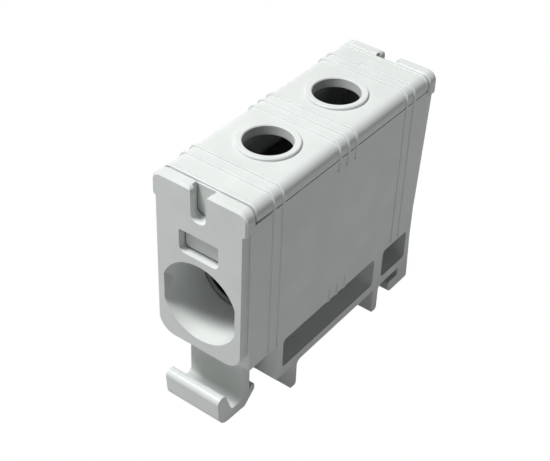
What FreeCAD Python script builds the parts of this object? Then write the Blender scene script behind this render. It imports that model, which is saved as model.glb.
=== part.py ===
import FreeCAD, Part
import math
import os
import re
import Sketcher

# One-pole connection terminal for a 35 mm mounting rail, in millimetres.
# X runs along the wire, Y across the terminal, Z up. The origin lies on the
# rail's seat, in the middle of the rail's width.

DRIVING_SIZES = {
    # Outside of the housing
    "body_width": 15.4,
    "body_height": 35.0,
    "deck_height": 6.95,
    "end_plate_stand": 1.6,
    "end_plate_inset": 0.45,
    "end_plate_bottom": 7.65,
    "end_plate_corner": 2.7,
    "body_edge_round": 0.3,
    # Hoods at the two ends
    "hood_thickness": 1.87,
    "hood_front_edge": 0.3,
    "hood_stand": 0.26,
    "hood_height": 2.7,
    "hood_back_edge": 0.2,
    "top_edge_round": 1.5,
    "ear_height": 0.7,
    "ear_slope": 0.4,
    "notch_width": 2.55,
    "notch_depth": 5.1,
    "notch_round": 1.1,
    "notch_mouth_round": 0.75,
    "notch_rebate_width": 3.5,
    "notch_rebate_depth": 0.95,
    # Windows that show the lid's tongues
    "latch_window_width": 6.7,
    "latch_window_height": 3.7,
    "latch_window_drop": 7.5,
    "latch_window_round": 0.85,
    "latch_window_top_round": 0.2,
    "far_plate_top_inset": 0.28,
    "far_plate_taper": 0.72,
    # Wire funnels
    "throat_step": 0.3,
    "funnel_flare": 1.5,
    "funnel_depth": 7.1,
    "funnel_side_wall": 1.05,
    # Base with its side windows
    "post_width": 1.4,
    "web_width": 2.4,
    "far_wall": 1.4,
    "window_bottom": 1.5,
    "window_top": 6.85,
    "window_round": 0.7,
    "long_window_end": 10.4,
    "tooth_width": 0.56,
    "tooth_drop": 0.3,
    "tooth_depth": 0.8,
    # Rail, legs and hook
    "rail_width": 35.0,
    "rail_play": 0.4,
    "rail_offset": 0.55,
    "rail_slot_height": 1.45,
    "rail_slot_round": 0.3,
    "hook_wall": 2.75,
    "hook_reach": 2.7,
    "hook_bottom": 3.6,
    "hook_flare": 0.5,
    "hook_flare_top": 5.2,
    "hook_toe_round": 1.0,
    "hook_nose_round": 0.45,
    "hook_heel": 0.45,
    "leg_thickness": 1.5,
    "leg_length": 4.75,
    "leg_root_round": 0.9,
    "leg_tip_round": 0.4,
    "near_leg_face": 10.85,
    "far_leg_face": 12.45,
    # Sprung clip
    "clip_gap": 2.65,
    "clip_thickness": 1.55,
    "clip_width": 9.7,
    "clip_pivot_height": 8.05,
    "clip_pivot_play": 0.07,
    "clip_side_play": 0.15,
    "clip_swing_relief": 0.35,
    "catch_reach": 1.25,
    "catch_top": 1.2,
    "catch_heel": 1.7,
    "catch_tip_low": 2.35,
    "catch_crest": 0.45,
    "catch_round": 0.35,
    "foot_bottom": 4.3,
    "foot_rake": 0.35,
    "foot_floor": 2.45,
    "foot_ramp": 0.95,
    "foot_heel": 0.6,
    "foot_valley": 0.75,
    "foot_toe_round": 2.2,
    "foot_reach": 7.25,
    "lip_top": 1.5,
    "lip_thickness": 1.7,
    "lip_round": 0.85,
    "lip_front_lean": 0.45,
    "lip_back_lean": 1.5,
    # Inside of the housing
    "wall_thickness": 1.2,
    "tongue_shelf_sink": 0.2,
    "floor_thickness": 1.5,
    # Fine grooves
    "groove_inner": 14.75,
    "groove_pitch": 2.0,
    "groove_width": 0.56,
    "groove_depth": 0.2,
    "groove_margin": 0.1,
    "groove_end_land": 0.35,
    "short_groove_length": 1.95,
    "short_groove_low": 9.0,
    # Lid
    "seam_gap": 0.17,
    "lid_stand": 0.1,
    "lid_end_play": 0.13,
    "lid_plate": 1.15,
    "lid_skirt": 1.15,
    "lid_end_wall": 1.0,
    "lid_end_edge": 0.4,
    "tongue_width": 7.2,
    "tongue_play": 0.45,
    "tongue_round": 0.4,
    "crest_width": 0.4,
    "crest_rise": 0.14,
    "crest_corner": 1.3,
    "rib_length": 28.0,
    "rib_thickness": 0.8,
    "rib_play": 0.15,
    "rib_drop": 1.7,
    "rib_clearance": 0.3,
    "collar_radius": 4.55,
    "collar_height": 0.42,
    "collar_edge": 0.15,
    "access_radius": 3.55,
    # Clamping block and its screws
    "block_play": 0.15,
    "block_height": 18.4,
    "block_drop": 7.6,
    "block_wall": 1.55,
    "block_edge": 0.5,
    "bore_edge": 0.4,
    "screw_spacing": 16.0,
    "thread_radius": 4.0,
    "thread_play": 0.06,
    "screw_length": 5.9,
    "screw_sink": 0.05,
    "screw_point": 0.7,
    "screw_rim": 0.35,
    "socket_width": 4.0,
    "socket_depth": 3.2,
}

DERIVED_SIZES = {
    "rail_slot_end": "rail_width / 2 + rail_play / 2 + rail_offset",
    "clip_face": "rail_width / 2 + rail_play / 2 - rail_offset",
    "hook_nose": "rail_slot_end - hook_reach",
    "body_half": "rail_slot_end + hook_wall",
    "end_half": "body_half + end_plate_stand",
    "base_start": "clip_face - clip_gap",
    "long_window_start": "base_start - post_width",
    "short_window_start": "long_window_end + web_width",
    "short_window_end": "body_half - far_wall",
    "tooth_half": "tooth_width / 2",
    "side_half": "body_width / 2",
    "hood_half": "side_half + hood_stand",
    "plate_half": "side_half - end_plate_inset",
    "far_plate_top_half": "side_half - far_plate_top_inset",
    "far_plate_low_half": "far_plate_top_half - far_plate_taper",
    "rim_height": "body_height - hood_height",
    "ear_low": "rim_height - ear_height",
    "ear_root": "ear_low - ear_slope",
    "hood_back": "end_half - hood_thickness",
    "hood_back_chamfer": "min(hood_back_edge; hood_stand - 0.05)",
    "notch_bottom": "body_height - notch_depth",
    "latch_window_top": "body_height - latch_window_drop",
    "latch_window_bottom": "latch_window_top - latch_window_height",
    "tongue_shelf": "latch_window_bottom - tongue_shelf_sink",
    "tongue_bottom": "tongue_shelf + tongue_play",
    "short_groove_top": "rim_height - short_groove_length",
    "notch_half": "notch_width / 2",
    "rebate_half": "notch_rebate_width / 2",
    "rebate_front": "end_half - notch_rebate_depth",
    "latch_half": "latch_window_width / 2",
    "throat_face": "end_half - funnel_depth",
    "clear_above": "body_height + 1",
    "inner_half": "side_half - wall_thickness",
    "near_leg_back": "near_leg_face - leg_thickness",
    "far_leg_back": "far_leg_face - leg_thickness",
    "clip_half_thickness": "clip_thickness / 2",
    "clip_pivot": "clip_face + clip_half_thickness",
    "clip_back": "clip_face + clip_thickness",
    "pivot_seat_radius": "clip_half_thickness + clip_pivot_play",
    "clip_pocket_width": "clip_width + 2 * clip_side_play",
    "groove_half": "groove_width / 2",
    "groove_outer": "groove_inner + groove_pitch",
    "groove_tip": "side_half - groove_depth",
    "groove_out": "side_half + groove_margin",
    "groove_top": "rim_height - groove_end_land",
    "groove_low": "deck_height + groove_end_land",
    "skirt_bottom": "rim_height + seam_gap",
    "lid_half": "hood_back - lid_end_play",
    "lid_side": "side_half + lid_stand",
    "lid_inside_half": "lid_half - lid_end_wall",
    "lid_inside_side": "lid_side - lid_skirt",
    "crest_half": "crest_width / 2",
    "crest_side": "lid_side + crest_rise",
    "crest_top": "body_height + crest_rise",
    "lid_inside_top": "body_height - lid_plate",
    "tongue_half": "tongue_width / 2",
    "rib_out": "inner_half - rib_play",
    "rib_in": "rib_out - rib_thickness",
    "rib_half": "rib_length / 2",
    "block_half": "throat_face - block_play",
    "block_side": "inner_half - block_play",
    "block_rise": "block_height - block_drop",
    "block_bore_radius": "block_side - block_wall",
    "bore_chamfer": "min(bore_edge; block_wall - 0.1; block_drop - block_bore_radius - 0.1)",
    "funnel_throat_radius": "block_bore_radius + throat_step",
    "funnel_mouth_radius": "funnel_throat_radius + funnel_flare",
    "funnel_width": "2 * (plate_half - funnel_side_wall)",
    "bay_floor": "deck_height + floor_thickness",
    "bore_height": "bay_floor + block_drop",
    "block_top": "bay_floor + block_height",
    "rib_bottom": "max(rim_height - rib_drop; block_top + rib_clearance)",
    "screw_half_spacing": "screw_spacing / 2",
    "tapped_radius": "thread_radius + thread_play",
    "screw_top": "block_top - screw_sink",
    "socket_half": "socket_width / 2",
}

document = FreeCAD.newDocument("connection_terminal")
sheet = document.addObject("Spreadsheet::Sheet", "sizes")


def fill_sheet():
    """Write every size into the sheet, one named cell a row."""
    rows = list(DRIVING_SIZES.items())
    rows += [(name, "=" + formula) for name, formula in DERIVED_SIZES.items()]
    for row, (name, content) in enumerate(rows, start=1):
        sheet.set("A%d" % row, name)
        sheet.set("B%d" % row, str(content))
        sheet.setAlias("B%d" % row, name)
    document.recompute()


def size(name):
    """Number held by a named cell."""
    value = getattr(sheet, name)
    return float(getattr(value, "Value", value))


def bound(expression):
    """The expression with each cell's name pointed at the sheet."""
    return re.sub(r"([a-z][a-z_]+)", r"sizes.\1", expression)


def number(expression):
    """Number behind a sum of cell names and plain numbers."""
    total, sign = 0.0, 1.0
    for word in expression.replace("-", " - ").replace("+", " + ").split():
        if word in "+-":
            sign = -1.0 if word == "-" else 1.0
            continue
        total += sign * (size(word) if word[0].isalpha() else float(word))
        sign = 1.0
    return total


def new_body(name):
    """Empty body whose features make one piece."""
    return document.addObject("PartDesign::Body", name)


def place(piece, x="0", y="0", z="0"):
    """Set a piece in the terminal, whose middle lies beside the rail's."""
    piece.setExpression("Placement.Base.x", bound(x + " - rail_offset"))
    piece.setExpression("Placement.Base.y", bound(y))
    piece.setExpression("Placement.Base.z", bound(z))


def origin_plane(body, role):
    """A body's own origin plane or axis, found by its role."""
    return [item for item in body.Origin.OriginFeatures if item.Role == role][0]


def new_sketch(body, name, plane, height="0"):
    """Sketch on one of the body's origin planes, at a height along its normal."""
    sketch = body.newObject("Sketcher::SketchObject", name)
    sketch.AttachmentSupport = [(origin_plane(body, plane), "")]
    sketch.MapMode = "FlatFace"
    sketch.setExpression("AttachmentOffset.Base.z", bound(height))
    return sketch


def pin_point(sketch, geometry, vertex, corner):
    """Hold a sketch point at the place that its two expressions give."""
    for kind, expression in zip(("DistanceX", "DistanceY"), corner):
        value = number(expression)
        index = sketch.addConstraint(Sketcher.Constraint(kind, -1, 1, geometry, vertex, value))
        sketch.setExpression("Constraints[%d]" % index, bound(expression))


def corner_arc(before, corner, after, radius):
    """Tangent points and arc that round one corner of an outline."""
    to_before = (before - corner).normalize()
    to_after = (after - corner).normalize()
    half_angle = to_before.getAngle(to_after) / 2
    reach = radius / math.tan(half_angle)
    first = corner + to_before * reach
    last = corner + to_after * reach
    bisector = (to_before + to_after).normalize()
    centre = corner + bisector * (radius / math.sin(half_angle))
    turns_left = (corner - before).cross(after - corner).z > 0
    start, end = (first, last) if turns_left else (last, first)
    angles = [math.atan2(point.y - centre.y, point.x - centre.x) for point in (start, end)]
    circle = Part.Circle(centre, FreeCAD.Vector(0, 0, 1), radius)
    return first, last, Part.ArcOfCircle(circle, angles[0], angles[1]), turns_left


def outline(sketch, corners, closed=True):
    """Straight-sided outline with bound corners, each sharp or with a bound radius."""
    count = len(corners)
    points = [FreeCAD.Vector(number(corner[0]), number(corner[1]), 0) for corner in corners]
    radii = [corner[2] if len(corner) > 2 else None for corner in corners]
    starts, ends, arcs = list(points), list(points), {}
    for index in range(count):
        if radii[index]:
            before, after = points[index - 1], points[(index + 1) % count]
            rounded = corner_arc(before, points[index], after, number(radii[index]))
            ends[index], starts[index] = rounded[0], rounded[1]
            arcs[index] = rounded[2:]
    sides = count if closed else count - 1
    lines = []
    for index in range(sides):
        line = Part.LineSegment(starts[index], ends[(index + 1) % count])
        lines.append(sketch.addGeometry(line, False))
    for index in range(count):
        into = lines[index - 1] if closed or index > 0 else None
        out = lines[index] if index < sides else None
        if index not in arcs:
            if into is not None and out is not None:
                sketch.addConstraint(Sketcher.Constraint("Coincident", into, 2, out, 1))
            pin_point(sketch, out if out is not None else into, 1 if out is not None else 2,
                      corners[index][:2])
            continue
        arc_shape, turns_left = arcs[index]
        arc = sketch.addGeometry(arc_shape, False)
        first_end, last_end = (1, 2) if turns_left else (2, 1)
        sketch.addConstraint(Sketcher.Constraint("Tangent", into, 2, arc, first_end))
        sketch.addConstraint(Sketcher.Constraint("Tangent", arc, last_end, out, 1))
        radius = sketch.addConstraint(Sketcher.Constraint("Radius", arc, number(radii[index])))
        sketch.setExpression("Constraints[%d]" % radius, bound(radii[index]))
        mark = sketch.addGeometry(Part.Point(points[index]), True)
        sketch.addConstraint(Sketcher.Constraint("PointOnObject", mark, 1, into))
        sketch.addConstraint(Sketcher.Constraint("PointOnObject", mark, 1, out))
        pin_point(sketch, mark, 1, corners[index][:2])


def rectangle(sketch, x_low, x_high, y_low, y_high, radius=None):
    """Closed rectangle between four expressions, with one radius at its corners."""
    corners = [(x_low, y_low), (x_high, y_low), (x_high, y_high), (x_low, y_high)]
    outline(sketch, [corner + (radius,) for corner in corners] if radius else corners)


def circle(sketch, x, y, radius):
    """Circle with a bound centre and radius."""
    centre = FreeCAD.Vector(number(x), number(y), 0)
    ring = sketch.addGeometry(Part.Circle(centre, FreeCAD.Vector(0, 0, 1), number(radius)), False)
    index = sketch.addConstraint(Sketcher.Constraint("Radius", ring, number(radius)))
    sketch.setExpression("Constraints[%d]" % index, bound(radius))
    pin_point(sketch, ring, 3, (x, y))


def extrude(body, kind, name, sketch, length=None, symmetric=False, backwards=False):
    """Pad or pocket a sketch, by a bound length or through everything."""
    feature = body.newObject("PartDesign::" + kind, name)
    feature.Profile = sketch
    feature.SideType = "Symmetric" if symmetric else "One side"
    feature.Reversed = backwards
    if length is None:
        feature.Type = "ThroughAll"
    else:
        feature.setExpression("Length", bound(length))
    sketch.Visibility = False
    return feature


def mirror(body, name, features, plane="YZ_Plane"):
    """Repeat features on the other side of one of the body's origin planes."""
    mirrored = body.newObject("PartDesign::Mirrored", name)
    mirrored.Originals = features
    mirrored.MirrorPlane = (origin_plane(body, plane), [""])
    body.Tip = mirrored
    return mirrored


def round_edges(body, name, radius, wanted, kind="Fillet"):
    """Fillet or chamfer the edges of a body's last feature that pass a test."""
    document.recompute()
    base = body.Tip
    picked = ["Edge%d" % (index + 1) for index, edge in enumerate(base.Shape.Edges) if wanted(edge)]
    feature = body.newObject("PartDesign::" + kind, name)
    feature.Base = (base, picked)
    feature.setExpression("Radius" if kind == "Fillet" else "Size", bound(radius))
    body.Tip = feature
    return feature


def near(value, target):
    """True when two lengths are the same place."""
    return abs(value - target) < 1e-4


def ends_of(edge):
    """The two end points of an edge."""
    return edge.Vertexes[0].Point, edge.Vertexes[-1].Point


def build_housing():
    """The moulded housing: body, base, legs, hook, end plates and hoods."""
    body = new_body("housing_body")

    side_view = new_sketch(body, "side_view", "XZ_Plane")
    outline(side_view, [
        ("-body_half", "deck_height"),
        ("-base_start", "deck_height"),
        ("-base_start", "0"),
        ("-near_leg_face", "0"),
        ("-near_leg_face", "-leg_length", "leg_tip_round"),
        ("-near_leg_back", "-leg_length", "leg_tip_round"),
        ("-near_leg_back", "0", "leg_root_round"),
        ("far_leg_back", "0"),
        ("far_leg_back", "-leg_length", "leg_tip_round"),
        ("far_leg_face", "-leg_length", "leg_tip_round"),
        ("far_leg_face", "0", "leg_root_round"),
        ("rail_slot_end", "0", "rail_slot_round"),
        ("rail_slot_end", "-rail_slot_height", "rail_slot_round"),
        ("hook_nose", "-rail_slot_height", "hook_nose_round"),
        ("hook_nose", "-hook_bottom", "hook_toe_round"),
        ("body_half + hook_flare - hook_heel", "-hook_bottom"),
        ("body_half + hook_flare", "-hook_bottom + hook_heel"),
        ("body_half", "hook_flare_top"),
        ("body_half", "rim_height"),
        ("-body_half", "rim_height"),
    ])
    extrude(body, "Pad", "side_plates", side_view, "body_width", symmetric=True)

    side_windows = new_sketch(body, "side_windows", "XZ_Plane")
    rectangle(side_windows, "-long_window_start", "long_window_end",
              "window_bottom", "window_top", "window_round")
    rectangle(side_windows, "short_window_start", "short_window_end",
              "window_bottom", "window_top", "window_round")
    extrude(body, "Pocket", "base_windows", side_windows, symmetric=True)

    def upright_corner(edge):
        low, high = ends_of(edge)
        outside = min(abs(low.x), abs(high.x)) > size("body_half") - 1e-4
        return outside and near(low.y, high.y) and edge.BoundBox.ZLength > 1

    round_edges(body, "body_corners", "body_edge_round", upright_corner)

    for end, height, backwards, low_half, top_half in (
            ("near", "-end_half", False, "plate_half", "plate_half"),
            ("far", "end_half", True, "far_plate_low_half", "far_plate_top_half")):
        end_view = new_sketch(body, end + "_end_view", "YZ_Plane", height)
        outline(end_view, [
            ("-" + low_half, "end_plate_bottom", "end_plate_corner"),
            (low_half, "end_plate_bottom", "end_plate_corner"),
            (top_half, "ear_root"),
            ("hood_half", "ear_low"),
            ("hood_half", "body_height", "top_edge_round"),
            ("-hood_half", "body_height", "top_edge_round"),
            ("-hood_half", "ear_low"),
            ("-" + top_half, "ear_root"),
        ])
        extrude(body, "Pad", end + "_end_plate", end_view, "hood_thickness", backwards=backwards)

    def hood_edge(distance):
        def wanted(edge):
            box = edge.BoundBox
            in_plane = all(near(abs(point.x), size(distance)) for point in ends_of(edge))
            above_ear = box.ZMin > size("ear_low") - 1e-4
            on_rim = near(box.ZMin, size("rim_height")) and box.ZLength < 1e-4
            return in_plane and above_ear and not on_rim and edge.Length > 1
        return wanted

    round_edges(body, "hood_fronts", "hood_front_edge", hood_edge("end_half"), kind="Chamfer")
    round_edges(body, "hood_backs", "hood_back_chamfer", hood_edge("hood_back"), kind="Chamfer")

    notch = new_sketch(body, "notch_view", "YZ_Plane")
    outline(notch, [
        ("-notch_half", "notch_bottom", "notch_round"),
        ("notch_half", "notch_bottom", "notch_round"),
        ("notch_half", "body_height", "notch_mouth_round"),
        ("notch_half + notch_mouth_round + 0.1", "body_height"),
        ("notch_half + notch_mouth_round + 0.1", "clear_above"),
        ("-notch_half - notch_mouth_round - 0.1", "clear_above"),
        ("-notch_half - notch_mouth_round - 0.1", "body_height"),
        ("-notch_half", "body_height", "notch_mouth_round"),
    ])
    extrude(body, "Pocket", "hood_notches", notch, symmetric=True)

    rebate = new_sketch(body, "rebate_view", "YZ_Plane")
    outline(rebate, [
        ("-rebate_half", "notch_bottom", "notch_round"),
        ("rebate_half", "notch_bottom", "notch_round"),
        ("rebate_half", "clear_above"),
        ("-rebate_half", "clear_above"),
    ])
    extrude(body, "Pocket", "notch_rebates", rebate, "2 * rebate_front", symmetric=True)

    latch = new_sketch(body, "latch_view", "YZ_Plane")
    outline(latch, [
        ("-latch_half", "latch_window_bottom", "latch_window_round"),
        ("latch_half", "latch_window_bottom", "latch_window_round"),
        ("latch_half", "latch_window_top", "latch_window_top_round"),
        ("-latch_half", "latch_window_top", "latch_window_top_round"),
    ])
    extrude(body, "Pocket", "latch_windows", latch, symmetric=True)

    lid_bay = new_sketch(body, "lid_bay_view", "XY_Plane", "tongue_shelf")
    rectangle(lid_bay, "-hood_back", "hood_back", "-inner_half", "inner_half")
    extrude(body, "Pocket", "lid_bay", lid_bay, backwards=True)

    block_bay = new_sketch(body, "block_bay_view", "XY_Plane", "bay_floor")
    rectangle(block_bay, "-throat_face", "throat_face", "-inner_half", "inner_half")
    extrude(body, "Pocket", "block_bay", block_bay, backwards=True)

    knuckle = new_sketch(body, "knuckle_seat_view", "XZ_Plane")
    circle(knuckle, "-clip_pivot", "clip_pivot_height", "pivot_seat_radius")
    extrude(body, "Pocket", "knuckle_seat", knuckle, "clip_pocket_width", symmetric=True)

    swing = new_sketch(body, "swing_view", "XZ_Plane")
    outline(swing, [
        ("-clip_pivot + pivot_seat_radius", "deck_height - 1"),
        ("-clip_pivot + pivot_seat_radius", "clip_pivot_height"),
        ("-clip_pivot - pivot_seat_radius", "clip_pivot_height"),
        ("-clip_pivot - pivot_seat_radius - clip_swing_relief", "deck_height - 1"),
    ])
    extrude(body, "Pocket", "swing_slot", swing, "clip_pocket_width", symmetric=True)

    long_grooves = new_sketch(body, "long_groove_view", "XY_Plane", "groove_low")
    short_grooves = new_sketch(body, "short_groove_view", "XY_Plane", "short_groove_top")
    foot_grooves = new_sketch(body, "foot_groove_view", "XY_Plane", "window_top - 1")
    long_places = ["-groove_outer", "-groove_inner", "groove_inner", "groove_outer"]
    short_places = ["-groove_pitch", "0", "groove_pitch"]
    for sketch, places in ((long_grooves, long_places), (short_grooves, short_places),
                           (foot_grooves, short_places)):
        for place_x in places:
            for tip, outside in (("groove_tip", "groove_out"), ("-groove_tip", "-groove_out")):
                outline(sketch, [
                    (place_x + " - groove_half", outside),
                    (place_x + " + groove_half", outside),
                    (place_x, tip),
                ])
    extrude(body, "Pocket", "long_grooves", long_grooves, "groove_top - groove_low", backwards=True)
    extrude(body, "Pocket", "short_grooves", short_grooves, "groove_top - short_groove_top",
            backwards=True)
    extrude(body, "Pocket", "foot_grooves", foot_grooves, "short_groove_low - window_top + 1",
            backwards=True)

    teeth_view = new_sketch(body, "teeth_view", "XZ_Plane", "side_half - tooth_depth")
    for place_x in short_places:
        outline(teeth_view, [
            (place_x + " - tooth_half", "window_top + tooth_drop"),
            (place_x + " - tooth_half", "window_top"),
            (place_x, "window_top - tooth_drop"),
            (place_x + " + tooth_half", "window_top - tooth_drop"),
            (place_x + " + tooth_half", "window_top + tooth_drop"),
        ])
    teeth = extrude(body, "Pad", "teeth", teeth_view, "tooth_depth")
    mirror(body, "teeth_both_sides", [teeth], "XZ_Plane")
    return body


def build_funnel(name, end_sign):
    """Tapered wire entry, flattened at its two sides, as a solid to cut with."""
    cone = document.addObject("Part::Cone", name + "_taper")
    cone.setExpression("Radius1", bound("funnel_mouth_radius"))
    cone.setExpression("Radius2", bound("funnel_throat_radius"))
    cone.setExpression("Height", bound("funnel_depth"))
    cone.Placement.Rotation = FreeCAD.Rotation(FreeCAD.Vector(0, 1, 0), -90 * end_sign)
    cone.setExpression("Placement.Base.x", bound("%d * end_half" % end_sign))
    cone.setExpression("Placement.Base.z", bound("bore_height"))
    flats = document.addObject("Part::Box", name + "_flats")
    flats.setExpression("Length", bound("2 * end_half"))
    flats.setExpression("Width", bound("funnel_width"))
    flats.setExpression("Height", bound("body_height"))
    flats.setExpression("Placement.Base.x", bound("-end_half"))
    flats.setExpression("Placement.Base.y", bound("-funnel_width / 2"))
    funnel = document.addObject("Part::Common", name)
    funnel.Base = cone
    funnel.Tool = flats
    return funnel


def finish_housing(body):
    """Cut both wire entries into the housing."""
    both = document.addObject("Part::Fuse", "wire_entries")
    both.Base = build_funnel("near_funnel", -1)
    both.Tool = build_funnel("far_funnel", 1)
    housing = document.addObject("Part::Cut", "housing")
    housing.Base = body
    housing.Tool = both
    place(housing)
    return housing


def build_lid():
    """The snap-fit lid: top plate, skirts, crests, tongues, ribs and collars."""
    body = new_body("lid")

    cross = new_sketch(body, "lid_cross_view", "YZ_Plane")
    outline(cross, [
        ("-lid_side", "skirt_bottom"),
        ("lid_side", "skirt_bottom"),
        ("lid_side", "body_height", "top_edge_round"),
        ("-lid_side", "body_height", "top_edge_round"),
    ])
    extrude(body, "Pad", "lid_block", cross, "2 * lid_half", symmetric=True)

    def end_loop(edge):
        at_end = all(near(abs(point.x), size("lid_half")) for point in ends_of(edge))
        along_bottom = edge.BoundBox.ZMax < size("skirt_bottom") + 1e-4
        return at_end and not along_bottom

    round_edges(body, "lid_ends", "lid_end_edge", end_loop, kind="Chamfer")

    crest_places = ["-groove_outer", "-groove_inner", "-groove_pitch", "0", "groove_pitch",
                    "groove_inner", "groove_outer"]
    for index, place_x in enumerate(crest_places, start=1):
        crest = new_sketch(body, "crest_view_%d" % index, "YZ_Plane", place_x + " - crest_half")
        outline(crest, [
            ("-lid_side", "skirt_bottom"),
            ("lid_side", "skirt_bottom"),
            ("crest_side", "crest_top", "crest_corner"),
            ("-crest_side", "crest_top", "crest_corner"),
        ])
        extrude(body, "Pad", "crest_%d" % index, crest, "crest_width")

    inside = new_sketch(body, "lid_inside_view", "XY_Plane", "skirt_bottom")
    rectangle(inside, "-lid_inside_half", "lid_inside_half", "-lid_inside_side", "lid_inside_side")
    extrude(body, "Pocket", "lid_inside", inside, "lid_inside_top - skirt_bottom", backwards=True)

    tongue = new_sketch(body, "tongue_view", "YZ_Plane", "-lid_half")
    outline(tongue, [
        ("-tongue_half", "tongue_bottom", "tongue_round"),
        ("tongue_half", "tongue_bottom", "tongue_round"),
        ("tongue_half", "lid_inside_top"),
        ("-tongue_half", "lid_inside_top"),
    ])
    near_tongue = extrude(body, "Pad", "tongue", tongue, "lid_end_wall")
    mirror(body, "both_tongues", [near_tongue])

    ribs = new_sketch(body, "rib_view", "XY_Plane", "rib_bottom")
    rectangle(ribs, "-rib_half", "rib_half", "rib_in", "rib_out")
    rectangle(ribs, "-rib_half", "rib_half", "-rib_out", "-rib_in")
    extrude(body, "Pad", "locating_ribs", ribs, "lid_inside_top - rib_bottom + 0.2")

    collars = new_sketch(body, "collar_view", "XY_Plane", "lid_inside_top")
    circle(collars, "-screw_half_spacing", "0", "collar_radius")
    circle(collars, "screw_half_spacing", "0", "collar_radius")
    extrude(body, "Pad", "collars", collars, "lid_plate + collar_height")

    holes = new_sketch(body, "access_view", "XY_Plane", "lid_inside_top - 1")
    circle(holes, "-screw_half_spacing", "0", "access_radius")
    circle(holes, "screw_half_spacing", "0", "access_radius")
    extrude(body, "Pocket", "access_holes", holes, backwards=True)

    def collar_rim(edge):
        points = ends_of(edge)
        top = size("body_height") + size("collar_height")
        return all(near(point.z, top) for point in points)

    round_edges(body, "collar_rims", "collar_edge", collar_rim, kind="Chamfer")
    place(body)
    return body


def build_terminal_block():
    """The metal clamping block, with its wire bore and two tapped holes."""
    body = new_body("terminal_block")
    cross = new_sketch(body, "block_view", "YZ_Plane")
    rectangle(cross, "-block_side", "block_side", "-block_drop", "block_rise")
    extrude(body, "Pad", "block", cross, "2 * block_half", symmetric=True)

    def long_edge(edge):
        first, last = ends_of(edge)
        return near(first.y, last.y) and near(first.z, last.z)

    round_edges(body, "block_edges", "block_edge", long_edge, kind="Chamfer")
    bore = new_sketch(body, "bore_view", "YZ_Plane")
    circle(bore, "0", "0", "block_bore_radius")
    extrude(body, "Pocket", "wire_bore", bore, symmetric=True)

    def bore_mouth(edge):
        return edge.Length > 2 * size("block_bore_radius") and edge.BoundBox.XLength < 1e-4 \
            and len(edge.Vertexes) == 1

    round_edges(body, "bore_mouths", "bore_chamfer", bore_mouth, kind="Chamfer")
    tapped = new_sketch(body, "tapped_view", "XY_Plane")
    circle(tapped, "-screw_half_spacing", "0", "tapped_radius")
    circle(tapped, "screw_half_spacing", "0", "tapped_radius")
    extrude(body, "Pocket", "tapped_holes", tapped, backwards=True)
    place(body, z="bore_height")
    return body


def build_clamp_screw(name, place_x):
    """Set screw with a hexagon socket and a blunt point."""
    body = new_body(name)
    shank = new_sketch(body, name + "_view", "XY_Plane")
    circle(shank, "0", "0", "thread_radius")
    extrude(body, "Pad", name + "_shank", shank, "screw_length", backwards=True)

    def rim_at(height):
        return lambda edge: edge.BoundBox.ZLength < 1e-4 and near(edge.BoundBox.ZMax, height)

    round_edges(body, name + "_point", "screw_point", rim_at(-size("screw_length")), kind="Chamfer")
    round_edges(body, name + "_rim", "screw_rim", rim_at(0.0), kind="Chamfer")
    socket = new_sketch(body, name + "_socket_view", "XY_Plane")
    corner = size("socket_half") / math.cos(math.pi / 6)
    centre = FreeCAD.Vector(0, 0, 0)
    turns = [FreeCAD.Vector(math.cos(turn), math.sin(turn), 0) * corner
             for turn in (math.pi / 3 * step for step in range(6))]
    sides = [socket.addGeometry(Part.LineSegment(turns[step - 1], turns[step]), False)
             for step in range(6)]
    for step in range(6):
        socket.addConstraint(Sketcher.Constraint("Coincident", sides[step - 1], 2, sides[step], 1))
    guide = socket.addGeometry(Part.Circle(centre, FreeCAD.Vector(0, 0, 1), size("socket_half")), True)
    socket.addConstraint(Sketcher.Constraint("Coincident", guide, 3, -1, 1))
    radius = socket.addConstraint(Sketcher.Constraint("Radius", guide, size("socket_half")))
    socket.setExpression("Constraints[%d]" % radius, bound("socket_half"))
    for side in sides:
        socket.addConstraint(Sketcher.Constraint("Tangent", side, guide))
    for step in range(4):
        socket.addConstraint(Sketcher.Constraint("Equal", sides[step], sides[step + 1]))
    socket.addConstraint(Sketcher.Constraint("PointOnObject", sides[0], 2, -1))
    extrude(body, "Pocket", name + "_socket", socket, "socket_depth")
    place(body, x=place_x, z="screw_top")
    return body


def build_rail_clip():
    """The sprung foot: leg, catch under the rail and lip for a screwdriver."""
    body = new_body("rail_clip")
    side = new_sketch(body, "clip_view", "XZ_Plane")
    face, back = "clip_half_thickness", "-clip_half_thickness"
    tip = "clip_half_thickness + catch_reach"
    lip_front = "clip_half_thickness - foot_reach"
    lip_back = "clip_half_thickness - foot_reach + lip_thickness"

    def level(offset):
        return offset + " - clip_pivot_height"

    outline(side, [
        (face, "0"),
        (back, "0"),
        (back, level("-foot_floor"), "foot_valley"),
        (lip_back + " + lip_back_lean", level("-foot_floor"), "foot_valley"),
        (lip_back, level("lip_top"), "lip_round"),
        (lip_front, level("lip_top"), "lip_round"),
        (lip_front + " + lip_front_lean", level("foot_rake - foot_bottom"), "foot_toe_round"),
        ("clip_half_thickness - foot_ramp", level("-foot_bottom"), "foot_heel"),
        (tip, level("-catch_tip_low"), "catch_round"),
        (tip, level("-catch_top"), "catch_round"),
        ("clip_half_thickness + catch_crest", level("-catch_top"), "0.2"),
        (face, level("-catch_heel")),
    ])
    extrude(body, "Pad", "clip_leg", side, "clip_width", symmetric=True)
    knuckle = new_sketch(body, "knuckle_view", "XZ_Plane")
    circle(knuckle, "0", "0", "clip_half_thickness")
    extrude(body, "Pad", "knuckle", knuckle, "clip_width", symmetric=True)
    place(body, x="-clip_pivot", z="clip_pivot_height")
    return body


def check_document():
    """Stop if any object failed."""
    document.recompute()
    for item in document.Objects:
        if "Invalid" in item.State or "Error" in item.State:
            raise RuntimeError("%s failed: %s" % (item.Name, item.State))


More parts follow.
